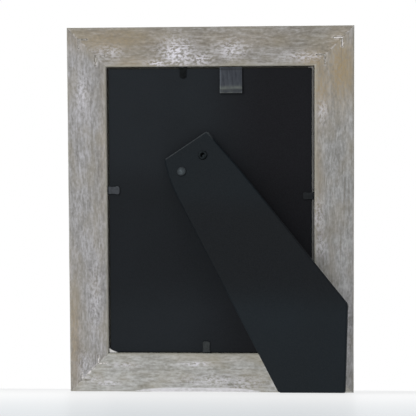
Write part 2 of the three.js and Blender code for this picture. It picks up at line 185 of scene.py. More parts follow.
def in_frame(tree, stretch=(1, 1, 1)):
    """Object coordinates turned upright with the frame, in millimetres, and stretched."""
    place = add(tree, "ShaderNodeTexCoord").outputs["Object"]
    upright = add(tree, "ShaderNodeMapping", {"Vector": place, "Rotation": (-LEAN, 0, 0)})
    return add(
        tree, "ShaderNodeMapping",
        {"Vector": upright.outputs[0], "Scale": tuple(s / MM for s in stretch)},
    ).outputs[0]


def grain_noise(tree, place, size, detail=2.0, roughness=0.5, lift=(0.35, 0.65)):
    """Noise with features of a size in millimetres, its middle stretched to 0 to 1."""
    noisy = add(
        tree, "ShaderNodeTexNoise",
        {"Vector": place, "Scale": 1 / size, "Detail": detail, "Roughness": roughness},
    )
    return add(
        tree, "ShaderNodeMapRange",
        {"Value": noisy.outputs[0], "From Min": lift[0], "From Max": lift[1]},
        clamp=True,
    ).outputs[0]


def mixed(tree, factor, first, second):
    """A mix of two colours, each a hex code or a socket."""
    made = add(tree, "ShaderNodeMix", data_type="RGBA")
    for index, value in ((0, factor), (6, first), (7, second)):
        if isinstance(value, str):
            value = linear(value)
        if isinstance(value, bpy.types.NodeSocket):
            tree.links.new(value, made.inputs[index])
        else:
            made.inputs[index].default_value = value
    return made.outputs[2]


def scaled(tree, value, factor, offset=0.0):
    """A value times a factor plus an offset, kept from 0 to 1."""
    return add(
        tree, "ShaderNodeMath", {0: value, 1: factor, 2: offset},
        operation="MULTIPLY_ADD", use_clamp=True,
    ).outputs[0]


def in_between(tree, value, start, end):
    """0 at one place and 1 at another, with a smooth step between them."""
    return add(
        tree, "ShaderNodeMapRange", {"Value": value, "From Min": start, "From Max": end},
        clamp=True, interpolation_type="SMOOTHSTEP",
    ).outputs[0]


def attribute(tree, name):
    """A float that was written on the vertices."""
    return add(tree, "ShaderNodeAttribute", attribute_name=name).outputs["Fac"]


def bumped(tree, shader, height, distance):
    """Bump from a height of 0 to 1 that stands for a real distance in millimetres."""
    made = add(
        tree, "ShaderNodeBump",
        {"Height": height, "Distance": distance * MM, "Strength": 1.0},
    )
    tree.links.new(made.outputs[0], shader.inputs["Normal"])


def stretched(along, length):
    """A scale that makes a pattern this many times longer along one axis."""
    return [1 / length if axis == along else 1.0 for axis in range(3)]


def ramp(tree, value, stops):
    """Colours at places from 0 to 1, blended evenly in between."""
    made = add(tree, "ShaderNodeValToRGB", {0: value})
    elements = made.color_ramp.elements
    for _ in stops[2:]:
        elements.new(0.5)
    for element, (place, code) in zip(elements, stops):
        element.position = place
        element.color = linear(code)
    return made.outputs[0]


def total(tree, parts):
    """The sum of values, each with its weight."""
    level = 0.0
    for value, weight in parts:
        level = add(
            tree, "ShaderNodeMath", {0: value, 1: weight, 2: level}, operation="MULTIPLY_ADD",
        ).outputs[0]
    return level


def times(tree, first, second):
    """The product of two values."""
    return add(tree, "ShaderNodeMath", {0: first, 1: second}, operation="MULTIPLY").outputs[0]


def weathered_wood(name, along, dark, middle, light, tint, shift):
    """Softwood brushed and washed grey: short dark and pale fibres along the grain, a few
    long dark lines, clouds of tan, and flakes of white wash on patches and nail seams.
    The wash keeps it matt. Fibres are drawn 1 to 2 mm wide, as finer ones don't show."""
    material, tree, shader = new_material(name)

    def streaks(size, length, **settings):
        """Noise of a size, drawn out this many times along the grain."""
        return grain_noise(tree, in_frame(tree, stretched(along, length)), size, **settings)

    # Fibres, specks and clouds of grey, calmer in some places than in others
    wide = streaks(1.9, 5)
    fibre = streaks(1.0, 3.5, roughness=0.6)
    speck = streaks(1.5, 1.5)
    cloud = streaks(15, 1.7, detail=1)
    lively = streaks(12, 1.5, detail=1)
    fibre = scaled(tree, total(tree, [(fibre, 1.0), (lively, -0.2)]), 1.0, 0.1)
    tone = total(tree, [(wide, 0.30), (fibre, 0.30), (speck, 0.22), (cloud, 0.18)])
    body = ramp(tree, tone, [(0.05, dark), (0.48, middle), (0.95, light)])

    # Bare wood that shows through as tan, and patches that are yellowed
    warm = streaks(9, 2.2, lift=(0.44, 0.66))
    body = mixed(tree, scaled(tree, warm, shift), body, tint)
    yellowed = times(tree, attribute(tree, "warm"), scaled(tree, speck, 0.5, 0.5))
    body = mixed(tree, scaled(tree, yellowed, 0.65), body, "#96866a")

    # Long dark lines of open grain, rubbed arrises, and the pale worn flat
    lines = streaks(1.6, 22, detail=3, lift=(0.40, 0.28))
    body = mixed(tree, scaled(tree, lines, 0.4), body, "#6d675c")
    body = mixed(tree, scaled(tree, attribute(tree, "rub"), 0.5), body, "#a5a396")
    worn = times(tree, attribute(tree, "bare"), scaled(tree, speck, 0.3, 0.65))
    body = mixed(tree, worn, body, "#d6d5d9")

    # White wash: flakes on the patches, and broken smears over nails and mitres
    flake = streaks(1.5, 1.8, detail=3, roughness=0.66, lift=(0.45, 0.55))
    flakes = scaled(tree, times(tree, flake, attribute(tree, "patch")), 1.0)
    body = mixed(tree, flakes, body, "#dad8e0")
    broken = grain_noise(tree, in_frame(tree), 2.4, lift=(0.47, 0.6))
    seams = scaled(tree, times(tree, broken, attribute(tree, "seam")), 0.8)
    body = mixed(tree, seams, body, "#dcd8d8")

    tree.links.new(body, shader.inputs["Base Color"])
    shader.inputs["Roughness"].default_value = 0.85
    shader.inputs["Specular IOR Level"].default_value = 0.25
    bumped(tree, shader, total(tree, [(tone, 0.7), (flakes, 0.3)]), 0.3)
    return material


def black_paper(name, tone, far_tone, axis, painted_light_fade, dim_band, dimmed):
    """Matt black kraft paper glued over fibreboard: a bluish black with a faint tooth and
    greyed where it is rubbed, a grey that on the strut's top rim is partly a painted highlight.
    As painted light and shade it goes over to a second tone between two places on an axis,
    and it is dimmer in a band of heights."""
    material, tree, shader = new_material(name)
    place = in_frame(tree)
    cloud = grain_noise(tree, place, 38, detail=2)
    tooth = grain_noise(tree, place, 0.7, detail=3, roughness=0.6)
    axes = add(tree, "ShaderNodeSeparateXYZ", {0: place}).outputs
    # Painted light and shade: the tone changes along one axis
    body = mixed(tree, in_between(tree, axes[axis], *painted_light_fade), tone, far_tone)
    low, low_full, high_full, high = dim_band
    rising = in_between(tree, axes[2], low, low_full)
    falling = in_between(tree, axes[2], high, high_full)
    body = mixed(tree, scaled(tree, times(tree, rising, falling), dimmed), body, "#020103")
    body = mixed(tree, scaled(tree, cloud, 0.2), body, "#0c0d0e")
    body = mixed(tree, scaled(tree, tooth, 0.12), body, "#34383b")
    # Grey where rubbed; on the strut's top rim partly a painted highlight
    scuff_and_highlight = times(tree, attribute(tree, "rub"), scaled(tree, tooth, 0.5, 0.5))
    body = mixed(tree, scaled(tree, scuff_and_highlight, 1.0), body, "#474b4d")
    tree.links.new(body, shader.inputs["Base Color"])
    shader.inputs["Roughness"].default_value = 0.6
    shader.inputs["Specular IOR Level"].default_value = 0.08
    bumped(tree, shader, tooth, 0.02)
    return material


def plain_card(name, tone, spot):
    """Card or paper with a matt, slightly mottled face."""
    material, tree, shader = new_material(name)
    mottle = grain_noise(tree, in_frame(tree), 1.5, detail=3)
    tree.links.new(mixed(tree, scaled(tree, mottle, 0.3), tone, spot), shader.inputs["Base Color"])
    shader.inputs["Roughness"].default_value = 0.9
    shader.inputs["Specular IOR Level"].default_value = 0.2
    bumped(tree, shader, mottle, 0.02)
    return material


def brushed_metal(name, tone, stain, roughness):
    """Thin rolled or turned metal, a little uneven in tone and gloss, so that it glints
    softly and never mirrors."""
    material, tree, shader = new_material(name)
    cloud = grain_noise(tree, in_frame(tree), 1.6, detail=3)
    tree.links.new(mixed(tree, scaled(tree, cloud, 0.5), tone, stain), shader.inputs["Base Color"])
    gloss = add(
        tree, "ShaderNodeMapRange",
        {"Value": cloud, "To Min": roughness - 0.06, "To Max": roughness + 0.1},
    )
    tree.links.new(gloss.outputs[0], shader.inputs["Roughness"])
    shader.inputs["Metallic"].default_value = 1.0
    bumped(tree, shader, cloud, 0.01)
    return material


def sheet_glass(name):
    """Clear float glass with a faint green cast."""
    material, tree, shader = new_material(name)
    film = grain_noise(tree, in_frame(tree), 30, detail=2)
    gloss = add(tree, "ShaderNodeMapRange", {"Value": film, "To Min": 0.0, "To Max": 0.03})
    tree.links.new(gloss.outputs[0], shader.inputs["Roughness"])
    shader.inputs["Base Color"].default_value = linear("#f4faf7")
    shader.inputs["Transmission Weight"].default_value = 1.0
    shader.inputs["IOR"].default_value = 1.5
    return material


def old_whitewash(name, pale, bare):
    """Whitewash brushed over a sunk nail: chalky, and worn through to grey in places."""
    material, tree, shader = new_material(name)
    worn = grain_noise(tree, in_frame(tree), 2.2, detail=3, lift=(0.38, 0.56))
    tree.links.new(mixed(tree, worn, bare, pale), shader.inputs["Base Color"])
    shader.inputs["Roughness"].default_value = 0.9
    shader.inputs["Specular IOR Level"].default_value = 0.2
    bumped(tree, shader, worn, 0.05)
    return material


def woven_ribbon(name):
    """Grey polyester ribbon: fine lengthwise ribs, woven from matt yarn with a slight sheen.
    Its left edge is lighter, partly selvedge and partly a painted highlight; round its fold it
    has a pale painted highlight, mottled like scuffs, and dark painted shade."""
    material, tree, shader = new_material(name)
    ribs = in_frame(tree, (1, 1, 1 / 8))
    yarn = grain_noise(tree, ribs, 0.9, detail=3, roughness=0.6)
    blotch = grain_noise(tree, in_frame(tree), 4, detail=2)
    body = mixed(tree, scaled(tree, yarn, 0.5), "#292c33", "#474b52")
    body = mixed(tree, scaled(tree, blotch, 0.25), body, "#464b50")
    # Painted light and shade: a lighter left edge, partly selvedge; a pale highlight round the
    # fold, mottled like scuffs; dark shade in the fold's curl and at the upper end
    body = mixed(tree, scaled(tree, attribute(tree, "selvedge"), 0.6), body, "#5f656d")
    scuff_and_highlight = times(tree, attribute(tree, "fold"), scaled(tree, blotch, 0.5, 0.3))
    body = mixed(tree, scaled(tree, scuff_and_highlight, 0.8), body, "#676c66")
    body = mixed(tree, scaled(tree, attribute(tree, "crease_shade"), 0.6), body, "#121416")
    tree.links.new(body, shader.inputs["Base Color"])
    shader.inputs["Roughness"].default_value = 0.8
    shader.inputs["Sheen Weight"].default_value = 0.1
    shader.inputs["Specular IOR Level"].default_value = 0.2
    bumped(tree, shader, yarn, 0.06)
    return material


# Rails

# Roundings and the slope of the rails' profile
ARRIS = 0.9
FRONT_ARRIS = 1.8
SIGHT_ARRIS = 0.7
LIP_ARRIS = 0.2
SIGHT_SLOPE = 2

# The mesh's spacing on the back and lengthwise, its spacing elsewhere, and what each
# rail keeps clear of the mitre
GRID = 0.55
COARSE_GRID = 1.3
MITRE_GAP = 0.01

# The rails' surface: how long and wide its grain, its slow swell and its dents are, how
# deep they and the eased arrises go, and how near a mitre they end
GRAIN_LENGTH = 26
GRAIN_WIDTH = 1.3
GRAIN_DEPTH = 0.05
SWELL_LENGTH = 45
SWELL_WIDTH = 9
SWELL_DEPTH = 0.07
DENT_LENGTH = 7
DENT_WIDTH = 3
DENT_DEPTH = 0.9
EASING = 0.1
FLUSH_LENGTH = 3

# The flat worn on the lower back edge, and how deep it has to be worn to look bare
WORN_LENGTH = 90.0
WORN_MIDDLE = -8.8
WORN_HEIGHT = 3.5
WORN_DEPTH = 1.3
BARE_DEPTH = 0.15

# The rubbed arrises of the opening and of the outer edge, as (middle, spread)
RUBBED_INNER = (BORDER - 0.4, 0.9)
RUBBED_OUTER = (0.2, 0.7)

# The V nails: how far in from the frame's corner their angles lie, the width, arms and
# depth of their slots, and how far along the arms wash is smeared
OUTER_NAIL = 7.6
INNER_NAIL = 18.3
SLOT_WIDTH = 0.76
SLOT_ARM = 5.6
SLOT_DEPTH = 10.1
SMEARED_ARM = 5.4

# For each corner its turn in degrees, its side of the frame and whether it is at the top
CORNERS = ((0, -1, 0), (-90, 1, 0), (180, 1, 1), (90, -1, 1))

# The wash smeared over the nails of each corner, as (inset, weight, spread)
NAIL_PAINT = {
    (-1, 0): [(OUTER_NAIL, 0.9, 0.8), (INNER_NAIL, 1.0, 0.8)],
    (1, 0): [(OUTER_NAIL, 0.5, 0.7), (INNER_NAIL, 0.5, 0.7)],
    (1, 1): [(OUTER_NAIL, 1.3, 0.9), (INNER_NAIL, 0.8, 1.0)],
    (-1, 1): [(OUTER_NAIL, 0.6, 0.8), (INNER_NAIL, 0.9, 1.1)],
}

# The wash in the mitres, as (weight, spread). It is thick between the nails of the lower
# left one, from one distance in from the frame's edge to another.
MITRE_PAINT = (0.55, 0.6)
FILLED_MITRE = (1.3, 0.9)
FILLED_FROM = 8
FILLED_TO = 18


def near_patch(x, z, patches):
    """How strongly patches of (x, z, half width, half height, weight) mark a place."""
    level = 0.0
    for centre_x, centre_z, half_x, half_z, weight in patches:
        away = ((x - centre_x) / half_x) ** 2 + ((z - centre_z) / half_z) ** 2
        level = max(level, weight * math.exp(-away))
    return level


def nail_paint(x, z):
    """How thick the wash is that was smeared over the V nails, at a place on the back."""
    right = 1 if x > 0 else -1
    top = 1 if z > HEIGHT / 2 else 0
    across = WIDTH / 2 - abs(x)
    up = HEIGHT - z if top else z
    level = 0.0
    for inset, weight, spread in NAIL_PAINT[(right, top)]:
        reach_x = max(0.0, inset - across, across - inset - SMEARED_ARM)
        reach_z = max(0.0, inset - up, up - inset - SMEARED_ARM)
        arm_up = math.hypot(across - inset, reach_z)
        arm_across = math.hypot(reach_x, up - inset)
        level = max(level, weight * hill(min(arm_up, arm_across), 0, spread))
    return level


def mitre_paint(x, z, w, away):
    """How thick the wash is at a place this far away from a mitre's joint."""
    filled = x < 0 and z < HEIGHT / 2 and FILLED_FROM < w < FILLED_TO
    weight, spread = FILLED_MITRE if filled else MITRE_PAINT
    return weight * hill(away, 0, spread)


def onto_worn_flat(x, y, z):
    """The move that brings a place onto the flat worn on the lower back edge. The flat
    is a shallow slope that runs out to nothing at both ends."""
    slope = math.atan(WORN_DEPTH / WORN_HEIGHT)
    share = min(1.0, abs(x - WORN_MIDDLE) / (WORN_LENGTH / 2))
    level = WORN_HEIGHT * math.sin(slope) * (1 - share ** 4)
    inward = Vector((0, math.cos(slope), math.sin(slope)))
    return inward * max(0.0, level - inward.dot(Vector((0, y, z))))


def rail_blank(length):
    """A bar with the rail's profile, mitred ends and a grid that is fine on its back."""
    bm = bmesh.new()
    inner = BORDER + LIP
    outline_face(bm, [
        (0, 0, 0, ARRIS),
        (0, 0, BORDER, ARRIS),
        (0, RABBET, BORDER),
        (0, RABBET, inner, LIP_ARRIS),
        (0, DEPTH - SIGHT_SLOPE, inner, SIGHT_ARRIS),
        (0, DEPTH, inner - SIGHT_SLOPE, SIGHT_ARRIS),
        (0, DEPTH, 0, FRONT_ARRIS),
    ])
    for edge in bm.edges[:]:
        on_back = max(vert.co.y for vert in edge.verts) < 1
        cuts = int(edge.calc_length() / (GRID if on_back else COARSE_GRID))
        if cuts:
            bmesh.ops.subdivide_edges(bm, edges=[edge], cuts=cuts)
    far = set(extruded(bm, (1, 0, 0)))
    for vert in bm.verts:
        end = length / 2 - vert.co.z - MITRE_GAP
        vert.co.x = end if vert in far else -end
    lengthwise = [e for e in bm.edges if (e.verts[0] in far) != (e.verts[1] in far)]
    bmesh.ops.subdivide_edges(bm, edges=lengthwise, cuts=int(length / GRID), use_grid_fill=True)
    bm.normal_update()
    return bm


def weathered(vert, turn, reach):
    """Where a place of a rail's surface comes to lie: sunk by the open grain and a slow
    swell, and on arrises by easing and dents. At a mitre both rails are sunk alike."""
    u, y, w = vert.co
    normal = Vector((0, vert.normal.y, vert.normal.z))
    if normal.length > 0:
        normal.normalize()
    grain_place = Vector((u / GRAIN_LENGTH, y / GRAIN_WIDTH, w / GRAIN_WIDTH + turn))
    grain = noise.fractal(grain_place, 0.6, 2.0, 3)
    swell = noise.noise(Vector((u / SWELL_LENGTH, y / SWELL_WIDTH + turn, w / SWELL_WIDTH)))
    dented = noise.noise(Vector((u / DENT_LENGTH + turn, y / DENT_WIDTH, w / DENT_WIDTH)))
    arris = 1 - min(1.0, max(abs(normal.y), abs(normal.z)) ** 6)
    flush = min(1.0, (reach - abs(u)) / FLUSH_LENGTH)
    depth = GRAIN_DEPTH * (1 + grain * flush) + SWELL_DEPTH * (1 + swell * flush)
    depth += flush * arris * (EASING + DENT_DEPTH * max(0.0, dented - 0.15))
    end_face = abs(u / reach) > 0.9999 and y > RABBET
    return vert.co - normal * (0 if end_face else depth)


def rail(name, side, length, material, patches, worn=False):
    """A mitred rail with an open grain, eased arrises, small dents and marks of its wash."""
    bm = rail_blank(length)
    place = on_side(side)
    rub = bm.verts.layers.float.new("rub")
    patch = bm.verts.layers.float.new("patch")
    seam = bm.verts.layers.float.new("seam")
    warm = bm.verts.layers.float.new("warm")
    bare = bm.verts.layers.float.new("bare")
    moves = []
    for vert in bm.verts:
        u, y, w = vert.co
        reach = max(length / 2 - w, 1.0)
        moved = weathered(vert, SIDES[side][0], reach)
        if worn:
            push = onto_worn_flat(u, moved.y, moved.z)
            moved += push
            vert[bare] = min(1.0, push.length / BARE_DEPTH)
        on_back = y < RABBET - 1
        inner_arris = hill(w, *RUBBED_INNER) if on_back else 0
        vert[rub] = max(inner_arris, 0.5 * hill(w, *RUBBED_OUTER))
        if on_back:
            x, _, z = place @ vert.co
            vert[patch] = near_patch(x, z, patches)
            vert[warm] = near_patch(x, z, TAN_PATCHES)
            vert[seam] = max(nail_paint(x, z), mitre_paint(x, z, w, reach - abs(u)))
        moves.append((vert, moved, u / reach))
    for vert, moved, share in moves:
        vert.co = moved
        vert.co.x = share * (length / 2 - MITRE_GAP - moved.z)
    bmesh.ops.transform(bm, matrix=LEANED @ place, verts=bm.verts[:])
    piece = finished(bm, name + "_weathered", "frame", material)
    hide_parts(name)
    return piece


def v_nail_cutter():
    """The slots of all the V nails, as one body that stands out of the back."""
    bm = bmesh.new()
    above = 1
    for turn, right, top in CORNERS:
        place = Matrix.Translation((right * WIDTH / 2, 0, top * HEIGHT))
        place = LEANED @ place @ Matrix.Rotation(math.radians(turn), 4, "Y")
        for inset in (OUTER_NAIL, INNER_NAIL):
            start = inset - SLOT_WIDTH / 2
            inside = start + SLOT_WIDTH
            far = inset + SLOT_ARM
            one = bmesh.new()
            outline_face(one, [
                (start, -above, start), (start, -above, far), (inside, -above, far),
                (inside, -above, inside), (far, -above, inside), (far, -above, start),
            ])
            extruded(one, (0, SLOT_DEPTH + above, 0))
            bmesh.ops.transform(one, matrix=place, verts=one.verts[:])
            mesh = bpy.data.meshes.new("slot")
            one.to_mesh(mesh)
            one.free()
            bm.from_mesh(mesh)
            bpy.data.meshes.remove(mesh)
    return cutter_from(bm)


# Strut

# Its middle line: where it starts on the back, how steeply it runs down and how far it
# stands open
STRUT_TOP = Vector((-15.5, 0.2, 157.0))
STRUT_SLOPE = math.radians(55.5)
STRUT_OPENING = math.radians(22.5)

# Its board, measured from the line it turns on: how far it reaches above, its two faces
# and the width of their rounded rims
STRUT_OVERHANG = 3.0
STRUT_LOW = 2.0
STRUT_HIGH = 5.0
LOW_RIM = 0.4
HIGH_RIM = 1.15

# Its two foot edges, which meet at the tip: the tip's place across, their lengths, the
# angle between them, how far the foot is kept off the table, and the roundings
STRUT_TIP = -0.9
FOOT_LENGTH = 39.3
SIDE_FOOT_LENGTH = 52.1
FOOT_ANGLE = math.radians(91.2)
FOOT_CLEARANCE = 0.06
FOOT_ROUNDING = 1.2
SIDE_HEEL_ROUNDING = 1.3

# The other corners of its outline in turn, as (down, across, rounding)
STRUT_OUTLINE = [
    (112, 26.7, 9), (62, 22.9, 9), (26, 19.9, 7), (9, 17.7, 4), (-3.4, 16.8, 1.9),
    (-4.0, -16.0, 1.7), (11, -20.4, 5), (31, -22.7, 8), (72, -26.1, 9), (121, -30.2, 9),
]

# Its rivets' bores, as (down, across, radius)
RIVET_BORES = ((9.9, -10.7, 1.5), (9.0, 6.0, 1.9))
BORE_LENGTH = 12

# How strongly the top rim is greyed, partly as wear and partly as a painted highlight,
# and how far down from its top, and the corner, as (down, across), past which its left
# edge is spared
RIM_SCUFF_AND_HIGHLIGHT = 0.75
RIM_SCUFF_AND_HIGHLIGHT_REACH = 1.5
SPARED_CORNER = (-3.6, -15)


def opened_strut():
    """Where the open strut is: x down along it, y across it and z out of its back. It
    turns on a line that lies so far down that its top edge is at STRUT_TOP."""
    down = Vector((math.cos(STRUT_SLOPE), 0, -math.sin(STRUT_SLOPE)))
    across = Vector((math.sin(STRUT_SLOPE), 0, math.cos(STRUT_SLOPE)))
    out = Vector((0, -1, 0))
    drop = STRUT_OVERHANG * math.cos(STRUT_OPENING) + STRUT_HIGH * math.sin(STRUT_OPENING)
    turned = Matrix((down, across, out)).transposed().to_4x4()
    hinge = Matrix.Translation(STRUT_TOP + down * drop) @ turned
    return LEANED @ hinge @ Matrix.Rotation(-STRUT_OPENING, 4, "Y")


def strut_corners(place):
    """The corners of the strut's outline, as (down, across, rounding). The foot lies just
    above the line where the strut's lower face would meet the table."""
    def foot_at(across):
        """The place this far across where the lower face is just above the table."""
        level = (place @ Vector((0, across, STRUT_LOW))).z
        per_down = (place @ Vector((1, across, STRUT_LOW))).z - level
        return Vector(((FOOT_CLEARANCE * MM - level) / per_down, across))

    tip = foot_at(STRUT_TIP)
    along_foot = (foot_at(STRUT_TIP - 1) - tip).normalized()
    heel = tip + along_foot * FOOT_LENGTH
    turn = Matrix.Rotation(-FOOT_ANGLE, 2)
    side_heel = tip + (turn @ along_foot) * SIDE_FOOT_LENGTH
    foot = [(*heel, FOOT_ROUNDING), (*tip, FOOT_ROUNDING), (*side_heel, SIDE_HEEL_ROUNDING)]
    return foot + STRUT_OUTLINE


def strut_board(material):
    """The strut: a board with paper drawn over its softly rounded rim, greyed along its top
    edge as wear and as a painted highlight, and bored for its two rivets."""
    place = opened_strut()
    bm = bmesh.new()
    corners = [(x, y, STRUT_LOW, rounding) for x, y, rounding in strut_corners(place)]
    outline_face(bm, corners, segments=5)
    extruded(bm, (0, 0, STRUT_HIGH - STRUT_LOW))
    for level, width in ((STRUT_HIGH, HIGH_RIM), (STRUT_LOW, LOW_RIM)):
        rim = [e for e in bm.edges if all(abs(v.co.z - level) < 0.001 for v in e.verts)]
        bmesh.ops.bevel(
            bm, geom=rim, offset=width, segments=7,
            affect="EDGES", profile=0.5, material=-1,
        )
    # The grey on the top rim, kept as rub, is partly wear and partly a painted highlight
    rub = bm.verts.layers.float.new("rub")
    spared_down, spared_across = SPARED_CORNER
    for vert in bm.verts:
        down, across, level = vert.co
        on_rim = STRUT_LOW + 1 < level < STRUT_HIGH - 0.01
        spared = down > spared_down and across < spared_across
        vert[rub] = RIM_SCUFF_AND_HIGHLIGHT if on_rim and down < RIM_SCUFF_AND_HIGHLIGHT_REACH and not spared else 0.0
    bmesh.ops.transform(bm, matrix=place, verts=bm.verts[:])
    piece = finished(bm, "strut_wrapped", "strut", material)
    bores = bmesh.new()
    for down, across, radius in RIVET_BORES:
        bmesh.ops.create_cone(
            bores, cap_ends=True, segments=48, radius1=radius, radius2=radius,
            depth=BORE_LENGTH, matrix=Matrix.Translation((down, across, STRUT_LOW)),
        )
    bmesh.ops.transform(bores, matrix=place, verts=bores.verts[:])
    cut_with([piece], cutter_from(bores))
    outward = (place.to_3x3() @ Vector((0, 0, 1))).normalized()
    for polygon in piece.data.polygons:
        polygon.use_smooth = abs(polygon.normal.dot(outward)) < 0.999
    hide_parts("strut")


# Tabs, ribbon and the insert's corner

# The tongues: their size, how far they clear the board and start from the rail, their
# rounded corners, the depth of their waist and the rounding of their edges
TAB_HALF_WIDTH = 2.5
TAB_THICKNESS = 0.5
TAB_CLEARANCE = 0.2
TAB_START = 0.45
TAB_CORNER = 1.9
TAB_WAIST = 0.45
TAB_EDGE = 0.12
TAB_STEPS = 8

# The ribbon: its middle across the frame, its half width, the heights of its upper end
# and of its fold, and the cloth's thickness
RIBBON_MIDDLE = 13.2
RIBBON_HALF_WIDTH = 7.0
RIBBON_TOP = 206.4
RIBBON_END = 190.25
RIBBON_THICKNESS = 0.3

# How deep below the frame's back its inner and outer layers lie, and its fold's bulge
RIBBON_INNER = 1.82
RIBBON_OUTER = 1.05
RIBBON_BULGE = 0.42


def tab(side, along, reach, material, flare=0.0, spring=0.0):
    """A steel tongue with rounded corners and a slight waist. The flare widens or narrows
    it towards its tip, and the spring lifts the tip off the board."""
    bm = bmesh.new()
    half = TAB_HALF_WIDTH
    tip = half + flare
    start = BORDER + TAB_START
    end = BORDER + reach
    level = BOARD_BACK - TAB_CLEARANCE - TAB_THICKNESS
    outline_face(bm, [
        (along - half, level, start),
        (along + half, level, start),
        (along + tip, level, end, TAB_CORNER),
        (along - tip, level, end, TAB_CORNER),
    ])
    extruded(bm, (0, TAB_THICKNESS, 0))
    for step in range(1, TAB_STEPS):
        at = start + (end - start) * step / TAB_STEPS
        bmesh.ops.bisect_plane(
            bm, geom=bm.verts[:] + bm.edges[:] + bm.faces[:], dist=1e-5,
            plane_co=(0, 0, at), plane_no=(0, 0, 1),
        )
    # The waist ends short of the tip, where the corners are rounded
    for vert in bm.verts:
        share = (vert.co.z - start) / (end - start)
        waist = TAB_WAIST * math.sin(math.pi * min(1.0, share * 1.15))
        vert.co.x -= waist * (vert.co.x - along) / half
        vert.co.y -= spring * share ** 2
    bmesh.ops.transform(bm, matrix=LEANED @ on_side(side), verts=bm.verts[:])
    bmesh.ops.recalc_face_normals(bm, faces=bm.faces[:])
    name = "flex_tab_" + side
    piece = finished(bm, name + "_bent", "tab_" + side, material, smooth=False)
    bevel = piece.modifiers.new("edges", "BEVEL")
    bevel.width = TAB_EDGE * MM
    bevel.segments = 2
    bevel.limit_method = "ANGLE"
    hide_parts(name)


def ribbon_line():
    """The ribbon seen from its edge, as (y, z): down its inner layer, round a fold that
    bulges out, and up its outer layer."""
    fold_height = 0.7
    middle = (RIBBON_INNER + RIBBON_BULGE) / 2
    radius = (RIBBON_INNER - RIBBON_BULGE) / 2
    line = [(RIBBON_INNER, RIBBON_TOP), (RIBBON_INNER, RIBBON_END + 3.2)]
    steps = 10
    for step in range(steps + 1):
        angle = math.pi * step / steps
        up = fold_height - fold_height * math.sin(angle)
        line.append((middle + radius * math.cos(angle), RIBBON_END + up))
    return line + [
        (RIBBON_BULGE + 0.05, RIBBON_END + 2.0),
        (RIBBON_OUTER - 0.15, RIBBON_END + 5.5),
        (RIBBON_OUTER, RIBBON_END + 9),
        (RIBBON_OUTER, RIBBON_TOP),
    ]


def ribbon(material):
    """The pull ribbon: doubled, with its folded end hanging free and bulging a little."""
    bm = bmesh.new()
    half = RIBBON_HALF_WIDTH
    left = [bm.verts.new((RIBBON_MIDDLE - half, y, z)) for y, z in ribbon_line()]
    edges = [bm.edges.new(pair) for pair in zip(left, left[1:])]
    made = bmesh.ops.extrude_edge_only(bm, edges=edges)["geom"]
    right = [item for item in made if isinstance(item, bmesh.types.BMVert)]
    bmesh.ops.translate(bm, verts=right, vec=(2 * half, 0, 0))
    across = [e for e in bm.edges if abs(e.verts[0].co.x - e.verts[1].co.x) > half]
    bmesh.ops.subdivide_edges(bm, edges=across, cuts=27, use_grid_fill=True)
    lengthwise = [e for e in bm.edges if abs(e.verts[0].co.z - e.verts[1].co.z) > 2]
    bmesh.ops.subdivide_edges(bm, edges=lengthwise, cuts=15, use_grid_fill=True)
    selvedge = bm.verts.layers.float.new("selvedge")
    fold = bm.verts.layers.float.new("fold")
    crease_shade = bm.verts.layers.float.new("crease_shade")

    # A pale left edge, partly selvedge and partly painted highlight; a pale painted highlight
    # round the fold, mottled like scuffs; and dark painted shade in the fold's curl and where
    # the ribbon dips behind the rail at its upper end
    for vert in bm.verts:
        side = (vert.co.x - RIBBON_MIDDLE) / half
        up = vert.co.z - RIBBON_END
        vert[selvedge] = 0.7 if side < -0.88 or (side > 0.88 and up < 2) else 0.0
        vert[fold] = hill(up, 3.0, 1.3) + hill(up, 0.3, 0.3)
        vert[crease_shade] = hill(up, 1.5, 0.7) + hill(up, 14.9, 0.5)
        if vert.co.y < 1.5:
            vert.co.y += 0.12 * noise.noise(Vector((vert.co.x / 5, 0, vert.co.z / 6)))
    bmesh.ops.transform(bm, matrix=LEANED, verts=bm.verts[:])
    bmesh.ops.recalc_face_normals(bm, faces=bm.faces[:])
    piece = finished(bm, "pull_ribbon", "frame", material)
    thick = piece.modifiers.new("cloth", "SOLIDIFY")
    thick.thickness = RIBBON_THICKNESS * MM
    thick.offset = 0
    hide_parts("pull_tab")


def insert_corner(material):
    """The torn corner of the white sheet, caught between the backing board and the
    rails at the lower left corner."""
    bm = bmesh.new()
    gap = 0.1
    left = -WIDTH / 2 + BORDER + gap
    low = BORDER + gap
    thickness = 0.25
    level = BOARD_BACK - gap - thickness
    outline_face(bm, [
        (left, level, low), (left + 5.6, level, low), (left + 2.6, level, low + 1.2, 1.0),
        (left + 0.5, level, low + 2.3, 0.4), (left, level, low + 3.0),
    ], segments=5)
    extruded(bm, (0, thickness, 0))
    bmesh.ops.transform(bm, matrix=LEANED, verts=bm.verts[:])
    piece = finished(bm, "insert_torn_corner", "frame", material, smooth=False)


# The stage, in metres

# The table: its tone near the camera, the places along y between which white fades to
# it, how steeply it fades, the share of the tone that is there from the start, and half
# its size
FLOOR_NEAR = "#dde1e4"
FLOOR_FADE = (-0.28, -0.69)
FADE_POWER = 3.0
FIRST_SHARE = 0.2
FLOOR_HALF_SIZE = 4.0

# The strength and the share of its glow where it is seen, and the share and roughness of
# its gloss
FLOOR_GLOW = 1.28
GLOW_SHARE = 0.6
FLOOR_SHEEN = 0.14
SHEEN_ROUGHNESS = 0.22

# The light that the table and the room throw on the frame
BOUNCE = 0.92
ROOM = 0.24

# What the lamps point at
LAMP_AIM = Vector((0, 0, 0.11))

# The camera: its place, its turns in degrees, its focal length and the photo's width in
# pixels, and its sensor in millimetres
CAMERA_PLACE = (0.03877, -0.77559, 0.00185)
YAW = 2.955
PITCH = 8.25
ROLL = 0.323
FOCAL_PIXELS = 1250
PHOTO_PIXELS = 416
SENSOR = 36.0


